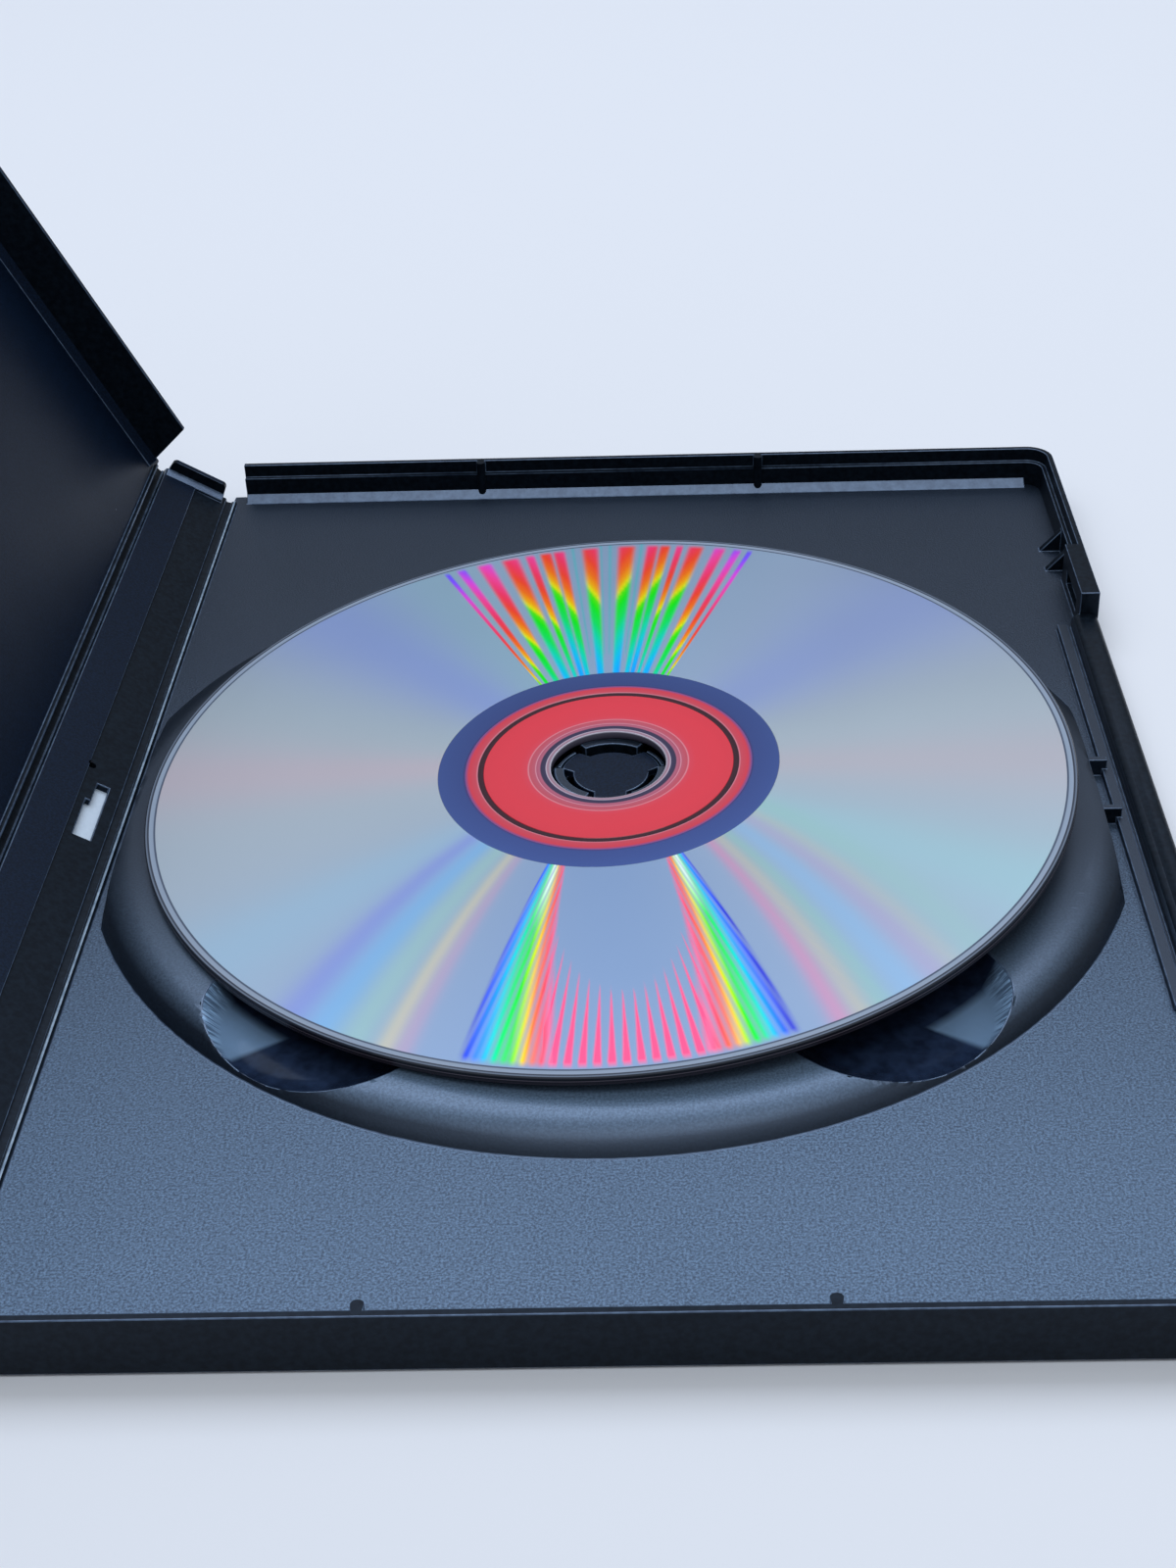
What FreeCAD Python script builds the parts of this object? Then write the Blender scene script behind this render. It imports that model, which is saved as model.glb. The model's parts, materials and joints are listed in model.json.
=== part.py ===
import FreeCAD, Part
import math
import os

# A keep case for one disc, lying open: the tray half flat on the table, the spine tilted up from it,
# the front cover leaning back, and a disc lying loosely over the hub with its label side down.
# Frame: origin on the table under the hub's axis, +X from the hinges to the opening edge,
# +Y along the hinges, +Z up. All lengths are in millimetres, all angles in degrees.

# Overall case
case_length = 190.0        # along the hinges
case_height = 14.0         # closed, over both outer films
opening_reach = 71.0       # hub axis to the opening edge
hinge_reach = 65.8         # hub axis to the tray's hinge axis
corner_radius = 4.0        # rounded corners at the opening edge

# Opening angles in the stored pose, both measured up from the table
spine_tilt = 30.0
cover_tilt = 63.2

# Wall thicknesses
panel = 1.4                # large faces of the moulding
shell = 1.2                # pedestal and cups
film = 0.12                # clear outer sleeve
paper = 0.18               # printed insert

# Living hinges: the moulding thins to a web, and a bead runs along each large panel
hinge_height = 0.7         # hinge axis above the outer film
web = 0.4                  # thickness of the thinned web
web_gap = 0.45             # hinge axis to the end of each half web
groove_floor = 0.55        # hinge axis to the foot of the groove's side
groove_mouth = 1.3         # hinge axis to the top of the groove's side
bead_width = 0.6
bead_height = 0.6
bead_end = 2.8             # bead stops short of the end walls

# Rims of the two halves: the cover's inner lip drops inside the tray's walls, guided by the locating ribs
tray_rim = 7.8             # tray rim above the table
shoulder = 5.7             # ledge inside the tray's lip
lip = 0.9                  # thickness of the tray's outer lip
tray_wall = 1.6            # tray wall below the shoulder
lip_play = 0.3             # gaps between the two halves when the case is closed
cover_wall = 1.2           # thickness of the cover's outer wall
cover_lip = 0.8            # thickness of the cover's inner lip
cover_lip_top = 9.9        # inner lip above the cover's outer film
lip_start = 2.5            # hinge axis to the foot of the inner lip's end
lip_slant = 2.4            # how far that end leans away from the hinge
ramp = 1.2                 # sloping foot of the walls
wall_start = 3.55          # hinge axis to the ends of the outer walls

# Locating ribs on the inside of the tray's end walls
rib_place = 22.9           # each side of the hub axis
rib_width = 1.35
rib_depth = 2.2            # reach from the outer face

# Spine
spine_near = 0.65          # tray's hinge axis to the spine's edge
spine_far = 1.05           # cover's hinge axis to the spine's edge
spine_wall = 1.1           # end walls
spine_wall_top = 3.2       # end wall above the hinge axis
spine_wall_foot = 1.35     # hinge axis to the wall's foot
spine_wall_slant = 0.3     # how far the wall's ends lean in
spine_wall_round = 0.8     # rounded upper corners
channel_edge = 6.0         # step of the lowered strip, from the tray's hinge axis
channel_depth = 0.45
window_start = 2.4
window_width = 2.45
window_low = -6.7
window_high = 5.5
tongue_width = 0.75        # tongue that narrows the window's far end
tongue_low = 1.4
pip_across = 5.6           # small blind hole beyond the window, from the tray's hinge axis
pip_along = 8.9
pip_radius = 0.6
pip_depth = 0.7

# Opening side of the tray
notch_half = 44.4          # half length of the thumb notch
notch_floor = 4.3
sill_width = 5.9           # moulded sill in the notch, from the outer face
sill_step = 1.0            # inner step of the sill above the panel
sill_round = 1.1           # rounded edges of the sill's ridge
ridge_width = 3.9
groove_width = 0.5         # fine groove between step and ridge
groove_depth = 0.4
block_length = 15.6        # thick catch block at each end of the notch
block_width = 2.8
pocket_place = 52.0        # catch pocket in each block
pocket_length = 8.6
pocket_depth = 0.9
pocket_low = 3.0
pocket_high = 5.2
gusset_place = 63.5        # first of the two gussets
gusset_pitch = 6.5
gusset_width = 1.2
gusset_reach = 3.2
gusset_top = 5.2
tie_place = 5.7            # two ties between the pedestal and the sill
tie_width = 1.0
tie_top = 4.1

# Tab and catch hooks on the cover
tab_wall = 2.0             # tab that fills the thumb notch
hook_length = 7.0
hook_width = 1.0
hook_play = 0.4
hook_nose = 0.6
hook_tip = 3.6             # hook tip above the table when closed
hook_nose_height = 1.2

# Pedestal under the disc
pedestal_radius = 67.4
pedestal_top = 4.5
flank = 5.4                # width of the rounded flank
hinge_ledge = 3.2          # panel between the hinge axis and the pedestal's straight side
sill_ledge = 1.9           # panel between the sill and the pedestal's other straight side
scoop_across = 32.3        # finger scoops, one in each quarter, from the hub's axis along X
scoop_along = 44.1         # and along Y
scoop_radius = 12.0        # at the scoop's floor
scoop_floor = 1.9
scoop_slope = 45.0         # wall of the scoop, from the table

# Hub
seat_inner = 8.6
seat_outer = 16.5
seat_top = 5.2
hub_hole = 6.0             # open well under the button
claw_inner = 6.1
claw_outer = 7.0
claw_bead = 7.6
claw_top = 7.6
claw_bead_low = 6.4
claw_bead_mid = 6.8
claw_bead_high = 7.05
claw_crown = 7.3
claw_half_angle = 34.0
post_inner = 6.75
post_outer = 7.2
post_half_angle = 17.0
button_radius = 4.9
button_top = 7.0
button_thickness = 1.0
arm_width = 4.2
arm_play = 0.25            # button arms to their root posts
claw_angles = (90.0, 210.0, 330.0)
arm_angles = (30.0, 150.0, 270.0)

# Disc
disc_radius = 60.0
disc_hole = 7.5
disc_thickness = 1.2
disc_edge = 0.15
disc_ring_inner = 16.55    # fine moulded groove round the clamping area
disc_ring_outer = 17.05
disc_ring_depth = 0.1
disc_shift_x = -0.25       # the disc lies a little off the hub's axis
disc_shift_y = -0.17
disc_height = 7.32         # underside at the disc's centre
disc_tilt_x = 1.479        # tilt about +X
disc_tilt_y = -2.22        # tilt about +Y

# Insert and sleeve
insert_reach = 130.0       # hinge axis to the insert's free edge
insert_length = 183.0
sleeve_inset = 0.6         # weld line inside the outer edges
layer_start = 0.9          # hinge axis to the ends of each layer

# Worked out from the sizes above
half_length = case_length / 2
chord_hinge = hinge_reach - hinge_ledge
chord_opening = opening_reach - sill_width - sill_ledge
span = hinge_reach + opening_reach
panel_bottom = film + paper
panel_top = panel_bottom + panel
spine_width = case_height - 2 * hinge_height
lip_inset = rib_depth + lip_play
cover_inner = lip_inset + cover_lip
cover_rim = case_height - tray_rim - lip_play
cover_tab_top = case_height - notch_floor - lip_play
over = 1.0                 # how far cutting tools run past a face
crown_share = 0.45         # radius of a rounded crown, as a share of its width

Vec = FreeCAD.Vector
z_axis = Vec(0, 0, 1)
y_axis = Vec(0, 1, 0)
origin = Vec(0, 0, 0)


def box(x0, x1, y0, y1, z0, z1):
    return Part.makeBox(x1 - x0, y1 - y0, z1 - z0, Vec(x0, y0, z0))


def prism(points, y0, y1):
    """A closed outline in the XZ plane, drawn out along Y."""
    corners = [Vec(x, y0, z) for x, z in points]
    face = Part.Face(Part.makePolygon(corners + corners[:1]))
    return face.extrude(Vec(0, y1 - y0, 0))


def turned(points, angle=360.0, start=0.0):
    """A closed outline in the RZ half plane, revolved about Z."""
    corners = [Vec(r, 0, z) for r, z in points]
    face = Part.Face(Part.makePolygon(corners + corners[:1]))
    solid = face.revolve(origin, z_axis, angle)
    solid.rotate(origin, z_axis, start)
    return solid


def half_plate(inset, z0, z1, start):
    """A plate of one half's outline, square at the hinge and rounded at the opening edge.

    Drawn with the hinge axis at x = 0 and the plate running towards +X.
    """
    x1 = span - inset
    y1 = half_length - inset
    r = max(corner_radius - inset, over)
    bend = r * math.sqrt(0.5)
    corners = [Vec(start, -y1, z0), Vec(x1 - r, -y1, z0), Vec(x1, -y1 + r, z0),
               Vec(x1, y1 - r, z0), Vec(x1 - r, y1, z0), Vec(start, y1, z0)]
    near_mid = Vec(x1 - r + bend, -y1 + r - bend, z0)
    far_mid = Vec(x1 - r + bend, y1 - r + bend, z0)
    edges = [Part.makeLine(corners[0], corners[1]),
             Part.Arc(corners[1], near_mid, corners[2]).toShape(),
             Part.makeLine(corners[2], corners[3]),
             Part.Arc(corners[3], far_mid, corners[4]).toShape(),
             Part.makeLine(corners[4], corners[5]),
             Part.makeLine(corners[5], corners[0])]
    return Part.Face(Part.Wire(edges)).extrude(Vec(0, 0, z1 - z0))


def rim(outer_inset, inner_inset, z0, z1, start=wall_start):
    """A three-sided wall round one half, open at the hinge."""
    outside = half_plate(outer_inset, z0, z1, start)
    inside = half_plate(inner_inset, z0 - over, z1 + over, start - over)
    return outside.cut(inside)


def mirrored_pair(solid):
    """The solid and its mirror image across the XZ plane."""
    return solid.fuse(solid.mirror(origin, y_axis))


def hinged_panel():
    """A large panel with its half web, groove side and bead along the hinge."""
    plate = half_plate(0, panel_bottom, panel_top, 0)
    groove = prism([(-over, panel_bottom - over), (groove_floor, panel_bottom - over),
                    (groove_floor, panel_bottom), (groove_mouth, panel_top),
                    (groove_mouth, panel_top + over), (-over, panel_top + over)],
                   -case_length, case_length)
    half_web = box(web_gap, groove_mouth, -half_length, half_length,
                   hinge_height - web / 2, hinge_height + web / 2)
    bead_y = half_length - bead_end
    bead = box(groove_mouth, groove_mouth + bead_width, -bead_y, bead_y,
               panel_bottom, panel_top + bead_height)
    crown = [e for e in bead.Edges if min(v.Z for v in e.Vertexes) > panel_top and e.Length > bead_y]
    bead = bead.makeFillet(bead_width * crown_share, crown)
    return plate.cut(groove).fuse([half_web, bead])


def wall_ramps(inset, start):
    """Sloping feet along the insides of one half's two end walls."""
    foot_y = half_length - inset
    corners = [Vec(start, foot_y, panel_top), Vec(start, foot_y - ramp, panel_top),
               Vec(start, foot_y, panel_top + ramp)]
    face = Part.Face(Part.makePolygon(corners + corners[:1]))
    return mirrored_pair(face.extrude(Vec(span - corner_radius - start, 0, 0)))


def locating_ribs():
    ribs = []
    for side in (-1, 1):
        x = hinge_reach + side * rib_place
        rib = box(x - rib_width / 2, x + rib_width / 2, half_length - rib_depth, half_length - lip / 2,
                  panel_bottom, tray_rim)
        edges = [e for e in rib.Edges if max(v.Y for v in e.Vertexes) < half_length - lip
                 and abs(e.Vertexes[0].Z - e.Vertexes[1].Z) > panel]
        ribs.append(mirrored_pair(rib.makeFillet(rib_width * crown_share, edges)))
    return ribs


def opening_side():
    """Sill in the thumb notch, with the catch blocks, gussets and ties beside it."""
    ridge_inner = span - ridge_width
    ridge = box(ridge_inner, span, -notch_half, notch_half, panel_bottom, notch_floor)
    crest = [e for e in ridge.Edges if min(v.Z for v in e.Vertexes) > panel_top and e.Length > notch_half]
    ridge = ridge.makeFillet(sill_round, crest)
    step = box(span - sill_width, ridge_inner + over, -notch_half, notch_half,
               panel_bottom, panel_top + sill_step)
    groove = box(ridge_inner - groove_width, ridge_inner, -case_length, case_length,
                 panel_top + sill_step - groove_depth, notch_floor)
    pieces = [step.cut(groove).fuse(ridge)]
    block = box(span - block_width, span - lip / 2, notch_half, notch_half + block_length,
                panel_bottom, tray_rim)
    pocket = box(span - block_width - over, span - block_width + pocket_depth,
                 pocket_place - pocket_length / 2, pocket_place + pocket_length / 2, pocket_low, pocket_high)
    pieces.append(mirrored_pair(block.cut(pocket)))
    inner_face = span - tray_wall
    for place in (gusset_place, gusset_place + gusset_pitch):
        gusset = prism([(inner_face + lip / 2, panel_bottom), (inner_face - gusset_reach, panel_bottom),
                        (inner_face - gusset_reach, panel_top), (inner_face, gusset_top),
                        (inner_face + lip / 2, gusset_top)],
                       place - gusset_width / 2, place + gusset_width / 2)
        pieces.append(mirrored_pair(gusset))
    tie_start = hinge_reach + chord_opening - shell / 2
    tie = box(tie_start, span - sill_width + shell / 2, tie_place - tie_width / 2, tie_place + tie_width / 2,
              panel_bottom, tie_top)
    pieces.append(mirrored_pair(tie))
    return pieces


def tray_shell():
    """The tray's panel, walls and opening side, with the hinge axis at x = 0."""
    lower = rim(0, tray_wall, panel_bottom, shoulder)
    upper = rim(0, lip, shoulder, tray_rim)
    notch = box(span - block_width, span + over, -notch_half, notch_half, panel_bottom, tray_rim + over)
    walls = lower.fuse([upper, wall_ramps(tray_wall, wall_start)]).cut(notch)
    return hinged_panel().fuse([walls] + locating_ribs() + opening_side())


def plateau():
    """The pedestal's solid body: a flat top with a flank of one arc, steepest at the panel."""
    rise = pedestal_top - panel_top
    radius = (flank ** 2 + rise ** 2) / (2 * rise)
    half_turn = math.asin(flank / radius) / 2
    crest = Vec(pedestal_radius - flank, 0, pedestal_top)
    middle = crest + Vec(math.sin(half_turn), 0, math.cos(half_turn) - 1) * radius
    foot = Vec(pedestal_radius, 0, panel_top)
    corners = [foot, Vec(pedestal_radius, 0, panel_bottom), Vec(0, 0, panel_bottom),
               Vec(0, 0, pedestal_top), crest]
    edges = [Part.makeLine(*pair) for pair in zip(corners, corners[1:])]
    edges.append(Part.Arc(crest, middle, foot).toShape())
    body = Part.Face(Part.Wire(edges)).revolve(origin, z_axis, 360)
    keep = box(-chord_hinge, chord_opening, -case_length, case_length, panel_bottom, pedestal_top)
    return body.common(keep)


def hollow():
    """The space under the pedestal, leaving the shell, the hub's well and the scoops' cups."""
    crest_radius = pedestal_radius - flank - shell / 2
    foot_radius = pedestal_radius - shell
    roof = pedestal_top - shell
    space = turned([(hub_hole + shell, panel_bottom - over), (foot_radius, panel_bottom - over),
                    (foot_radius, panel_bottom), (crest_radius, roof), (hub_hole + shell, roof)])
    keep = box(-chord_hinge + shell, chord_opening - shell, -case_length, case_length,
               panel_bottom - over, roof)
    return space.common(keep).cut(at_scoops(scoop_tool(shell)))


def scoop_tool(wall):
    """The cone of a finger scoop, or the outside of its cup when a wall is given."""
    slope = math.tan(math.radians(scoop_slope))
    low = panel_bottom - over if wall else scoop_floor
    high = pedestal_top + over
    grow = wall / math.sin(math.radians(scoop_slope))
    low_radius = scoop_radius + grow + (low - scoop_floor) / slope
    high_radius = scoop_radius + grow + (high - scoop_floor) / slope
    return Part.makeCone(low_radius, high_radius, high - low, Vec(0, 0, low))


def at_scoops(tool):
    copies = []
    for side_x in (-1, 1):
        for side_y in (-1, 1):
            copy = tool.copy()
            copy.translate(Vec(side_x * scoop_across, side_y * scoop_along, 0))
            copies.append(copy)
    return copies


def hub_pieces():
    """Seat ring, three sprung claws and the root posts of the button's arms."""
    root = pedestal_top - shell / 2
    seat = turned([(seat_inner, root), (seat_outer, root), (seat_outer, seat_top), (seat_inner, seat_top)])
    pieces = [seat]
    claw = [(claw_inner, root), (claw_outer, root), (claw_outer, claw_bead_low), (claw_bead, claw_bead_mid),
            (claw_bead, claw_bead_high), (claw_crown, claw_top), (claw_inner, claw_top)]
    for angle in claw_angles:
        pieces.append(turned(claw, 2 * claw_half_angle, angle - claw_half_angle))
    post = [(post_inner, root), (post_outer, root), (post_outer, button_top), (post_inner, button_top)]
    for angle in arm_angles:
        pieces.append(turned(post, 2 * post_half_angle, angle - post_half_angle))
    return pieces


def make_tray():
    body = tray_shell()
    body.translate(Vec(-hinge_reach, 0, 0))
    body = body.fuse(plateau()).cut(hollow()).cut(at_scoops(scoop_tool(0)))
    well = Part.makeCylinder(hub_hole, pedestal_top + over, Vec(0, 0, panel_bottom - over))
    return body.cut(well).fuse(hub_pieces()).removeSplitter()


def make_hub_button():
    """The press button: a round centre on three arms that end beside their root posts."""
    low = button_top - button_thickness
    centre = Part.makeCylinder(button_radius, button_thickness, Vec(0, 0, low))
    arms = []
    for angle in arm_angles:
        arm = box(0, claw_outer, -arm_width / 2, arm_width / 2, low, button_top)
        arm.rotate(origin, z_axis, angle)
        arms.append(arm)
    ends = Part.makeCylinder(post_inner - arm_play, button_thickness, Vec(0, 0, low))
    return centre.fuse(arms).common(ends).removeSplitter()


def make_disc():
    """The disc with softened edges and its fine ring groove, laid tilted over the hub."""
    e = disc_edge
    t = disc_thickness
    section = [(disc_hole, e), (disc_hole + e, 0), (disc_radius - e, 0), (disc_radius, e),
               (disc_radius, t - e), (disc_radius - e, t), (disc_ring_outer, t),
               (disc_ring_outer, t - disc_ring_depth), (disc_ring_inner, t - disc_ring_depth),
               (disc_ring_inner, t), (disc_hole + e, t), (disc_hole, t - e)]
    disc = turned(section)
    disc.rotate(origin, Vec(1, 0, 0), disc_tilt_x)
    disc.rotate(origin, y_axis, disc_tilt_y)
    disc.translate(Vec(disc_shift_x, disc_shift_y, disc_height))
    return disc


def spine_body():
    """The spine between its two hinge axes, the tray's at x = 0 and the cover's at spine_width."""
    w = spine_width
    bar = prism([(groove_floor, panel_bottom), (w - groove_floor, panel_bottom),
                 (w - spine_far, panel_top), (spine_near, panel_top)], -half_length, half_length)
    low = hinge_height - web / 2
    high = hinge_height + web / 2
    webs = [box(web_gap, spine_near, -half_length, half_length, low, high),
            box(w - spine_far, w - web_gap, -half_length, half_length, low, high)]
    top = hinge_height + spine_wall_top
    lean = spine_wall_foot + spine_wall_slant
    end_wall = prism([(spine_wall_foot, panel_bottom), (w - spine_wall_foot, panel_bottom),
                      (w - spine_wall_foot, panel_top), (w - lean, top),
                      (lean, top), (spine_wall_foot, panel_top)],
                     half_length - spine_wall, half_length)
    upper = [e for e in end_wall.Edges
             if min(v.Z for v in e.Vertexes) > panel_top and e.Vertexes[0].X == e.Vertexes[1].X]
    end_wall = end_wall.makeFillet(spine_wall_round, upper)
    foot_y = half_length - spine_wall
    corners = [Vec(spine_wall_foot, foot_y, panel_top), Vec(spine_wall_foot, foot_y - ramp, panel_top),
               Vec(spine_wall_foot, foot_y, panel_top + ramp / 2)]
    end_ramp = Part.Face(Part.makePolygon(corners + corners[:1])).extrude(Vec(w - 2 * spine_wall_foot, 0, 0))
    inner_y = foot_y - ramp
    channel = box(0, channel_edge, -inner_y, inner_y, panel_top - channel_depth, panel_top + over)
    relief = box(0, spine_wall_foot, -half_length - over, half_length + over,
                 panel_top - channel_depth, panel_top + over)
    window = box(window_start, window_start + window_width, window_low, window_high,
                 panel_bottom - over, panel_top + over)
    tongue = box(window_start + window_width - tongue_width, window_start + window_width + over,
                 tongue_low, window_high + over, panel_bottom, panel_top - channel_depth)
    pip_foot = Vec(pip_across, pip_along, panel_top - channel_depth - pip_depth)
    pip = Part.makeCylinder(pip_radius, pip_depth + over, pip_foot)
    body = bar.fuse(webs + [mirrored_pair(end_wall), mirrored_pair(end_ramp)])
    return body.cut([channel, relief, window, pip]).fuse(tongue).removeSplitter()


def cover_body():
    """The front cover: panel, outer wall, inner lip, notch tab and catch hooks, hinge axis at x = 0."""
    wall = rim(0, cover_wall, panel_bottom, cover_rim)
    inner_lip = rim(lip_inset, cover_inner, panel_bottom, cover_lip_top, lip_start)
    lip_end = lip_start + lip_slant
    slanted_end = prism([(lip_start - over, panel_top), (lip_start, panel_top), (lip_end, cover_lip_top),
                         (lip_end, cover_lip_top + over), (lip_start - over, cover_lip_top + over)],
                        -case_length, case_length)
    clear = gusset_place + gusset_pitch + gusset_width / 2 + 2 * lip_play
    low_stretch = box(span - cover_inner - over, span, -clear, clear, cover_rim, cover_lip_top + over)
    inner_lip = inner_lip.cut([slanted_end, low_stretch])
    tab_half = notch_half - 2 * lip_play
    tab = box(span - tab_wall, span, -tab_half, tab_half, panel_bottom, cover_tab_top)
    hook_outer = span - block_width - hook_play
    hook_top = case_height - hook_tip
    nose_mid = hook_top - hook_nose_height / 2
    hook = prism([(hook_outer - hook_width, panel_bottom), (hook_outer, panel_bottom),
                  (hook_outer, hook_top - hook_nose_height), (hook_outer + hook_nose, nose_mid),
                  (hook_outer, hook_top), (hook_outer - hook_width, hook_top)],
                 pocket_place - hook_length / 2, pocket_place + hook_length / 2)
    pieces = [wall, inner_lip, wall_ramps(cover_inner, lip_start), tab, mirrored_pair(hook)]
    return hinged_panel().fuse(pieces).removeSplitter()


def layer(thickness, z0, x0, x1, length):
    return box(x0, x1, -length / 2, length / 2, z0, z0 + thickness)


def sleeve_panel():
    """Film over one large face, welded just inside the outer edges."""
    return half_plate(sleeve_inset, 0, film, layer_start)


def on_tray(shape):
    shape.translate(Vec(-hinge_reach, 0, 0))
    return shape


def on_spine(shape):
    """From the spine's own flat frame to its place, tilted up from the tray's hinge."""
    placed = shape.mirror(origin, Vec(1, 0, 0))
    placed.translate(Vec(-hinge_reach, 0, 0))
    placed.rotate(Vec(-hinge_reach, 0, hinge_height), y_axis, spine_tilt)
    return placed


def on_cover(shape):
    """From the cover's own flat frame to its place, leaning back from the spine's outer hinge."""
    placed = shape.mirror(origin, Vec(1, 0, 0))
    placed.translate(Vec(-spine_width - hinge_reach, 0, 0))
    placed.rotate(Vec(-spine_width - hinge_reach, 0, hinge_height), y_axis, cover_tilt - spine_tilt)
    placed.rotate(Vec(-hinge_reach, 0, hinge_height), y_axis, spine_tilt)
    return placed


def make_parts():
    insert_panel = layer(paper, film, layer_start, insert_reach, insert_length)
    spine_layers = (layer_start, spine_width - layer_start)
    sleeve_length = case_length - 2 * sleeve_inset
    return {
        "tray": make_tray(),
        "hub_button": make_hub_button(),
        "disc": make_disc(),
        "insert_back": on_tray(insert_panel.copy()),
        "sleeve_back": on_tray(sleeve_panel()),
        "spine": on_spine(spine_body()),
        "insert_spine": on_spine(layer(paper, film, *spine_layers, insert_length)),
        "sleeve_spine": on_spine(layer(film, 0, *spine_layers, sleeve_length)),
        "front_cover": on_cover(cover_body()),
        "insert_front": on_cover(insert_panel.copy()),
        "sleeve_front": on_cover(sleeve_panel()),
    }


def main():
    os.makedirs("parts", exist_ok=True)
    for name, shape in make_parts().items():
        solids = shape.Solids
        if len(solids) == 1:
            shape = solids[0]
        print(name, "solids", len(solids), "valid", shape.isValid(), "volume", round(shape.Volume, 1))
        shape.exportStep("parts/" + name + ".step")
    cover_axis_x = -hinge_reach - spine_width * math.cos(math.radians(spine_tilt))
    cover_axis_z = hinge_height + spine_width * math.sin(math.radians(spine_tilt))
    print("cover hinge axis", round(cover_axis_x, 4), round(cover_axis_z, 4))


main()
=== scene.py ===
import bmesh
import bpy
import json
import math
import numpy as np
from mathutils import Matrix, Vector


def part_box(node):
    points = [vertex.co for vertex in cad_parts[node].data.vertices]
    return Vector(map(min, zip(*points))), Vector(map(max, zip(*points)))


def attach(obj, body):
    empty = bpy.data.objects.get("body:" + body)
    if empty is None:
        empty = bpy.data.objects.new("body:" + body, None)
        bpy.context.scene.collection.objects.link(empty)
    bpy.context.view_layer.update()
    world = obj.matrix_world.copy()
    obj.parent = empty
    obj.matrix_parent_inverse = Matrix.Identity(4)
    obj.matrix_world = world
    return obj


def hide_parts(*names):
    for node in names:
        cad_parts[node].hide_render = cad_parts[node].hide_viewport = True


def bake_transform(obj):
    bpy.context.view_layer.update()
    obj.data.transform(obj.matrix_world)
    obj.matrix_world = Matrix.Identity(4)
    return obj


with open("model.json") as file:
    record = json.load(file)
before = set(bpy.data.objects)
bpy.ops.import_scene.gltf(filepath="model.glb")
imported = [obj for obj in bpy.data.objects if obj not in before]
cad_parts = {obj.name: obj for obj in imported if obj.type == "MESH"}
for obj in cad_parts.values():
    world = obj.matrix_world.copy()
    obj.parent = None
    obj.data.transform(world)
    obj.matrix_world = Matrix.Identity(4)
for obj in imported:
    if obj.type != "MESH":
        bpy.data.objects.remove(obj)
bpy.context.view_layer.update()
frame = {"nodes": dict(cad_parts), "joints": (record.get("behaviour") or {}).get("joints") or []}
scene = bpy.context.scene
scene.view_settings.view_transform = "Standard"
mm = 0.001               # the scene is in metres
joints = {joint["name"]: joint for joint in frame["joints"]}
panelTilt = {"tray": 0.0, "spine": 30.0, "front_cover": 63.2}   # degrees from lying flat, at rest


# small helpers

def linear(hexColour):  # sRGB hex to linear red, green and blue
    srgb = np.array([int(hexColour[i:i + 2], 16) for i in (1, 3, 5)]) / 255
    return np.where(srgb <= 0.04045, srgb / 12.92, ((srgb + 0.055) / 1.055) ** 2.4)


def opaque(hexColour):  # linear colour as a shader socket takes it
    return (*linear(hexColour), 1.0)


def addNode(tree, kind, sockets=None, **settings):  # a node with its properties, its sockets set or linked
    node = tree.nodes.new("ShaderNode" + kind)
    for key, value in settings.items():
        setattr(node, key, value)
    for key, value in (sockets or {}).items():
        if isinstance(value, bpy.types.NodeSocket):
            tree.links.new(value, node.inputs[key])
        else:
            node.inputs[key].default_value = value
    return node


def newMaterial(name, sockets):  # a material that is one principled shader
    material = bpy.data.materials.new(name)
    material.use_nodes = True
    material.node_tree.nodes.clear()
    shader = addNode(material.node_tree, "BsdfPrincipled", sockets)
    addNode(material.node_tree, "OutputMaterial", {"Surface": shader.outputs[0]})
    return material, material.node_tree, shader


def mixColour(tree, share, under, over):  # one colour laid over another by a share of 0 to 1
    return addNode(tree, "Mix", {0: share, 6: under, 7: over}, data_type="RGBA").outputs[2]


def remap(tree, value, source, target=(0.0, 1.0), curve="LINEAR"):  # one range onto another, held at the ends
    return addNode(tree, "MapRange", {"Value": value, "From Min": source[0], "From Max": source[1],
                                      "To Min": target[0], "To Max": target[1]},
                   interpolation_type=curve).outputs[0]


def reckon(tree, operation, *values, **settings):  # one step of arithmetic
    return addNode(tree, "Math", dict(enumerate(values)), operation=operation, **settings).outputs[0]


def noise(tree, place, size, detail, **sockets):  # smooth noise with features of a size in mm
    return addNode(tree, "TexNoise", {"Vector": place, "Scale": 1 / (size * mm), "Detail": detail,
                                      **sockets}).outputs["Fac"]


def smoothStep(low, high, value):  # 0 below low, 1 above high, an S between them
    t = np.clip((value - low) / (high - low), 0, 1)
    return t * t * (3 - 2 * t)


def ramp(value, stops):  # colour by a list of (place, hex), straight between the stops
    places = [place for place, _ in stops]
    colours = np.array([linear(colour) for _, colour in stops])
    return np.stack([np.interp(value, places, colours[:, k]) for k in range(3)], axis=-1)


def laid(under, colour, cover):  # colour laid over another with a cover of 0 to 1
    return under + (colour - under) * cover[..., None]


def newPiece(name, mesh, body, materials):
    for material in materials:
        mesh.materials.append(material)
    piece = bpy.data.objects.new(name, mesh)
    scene.collection.objects.link(piece)
    if body:
        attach(piece, body)
    return piece


def faceOutward(mesh):
    bm = bmesh.new()
    bm.from_mesh(mesh)
    bmesh.ops.recalc_face_normals(bm, faces=bm.faces)
    bm.to_mesh(mesh)
    bm.free()


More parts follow.
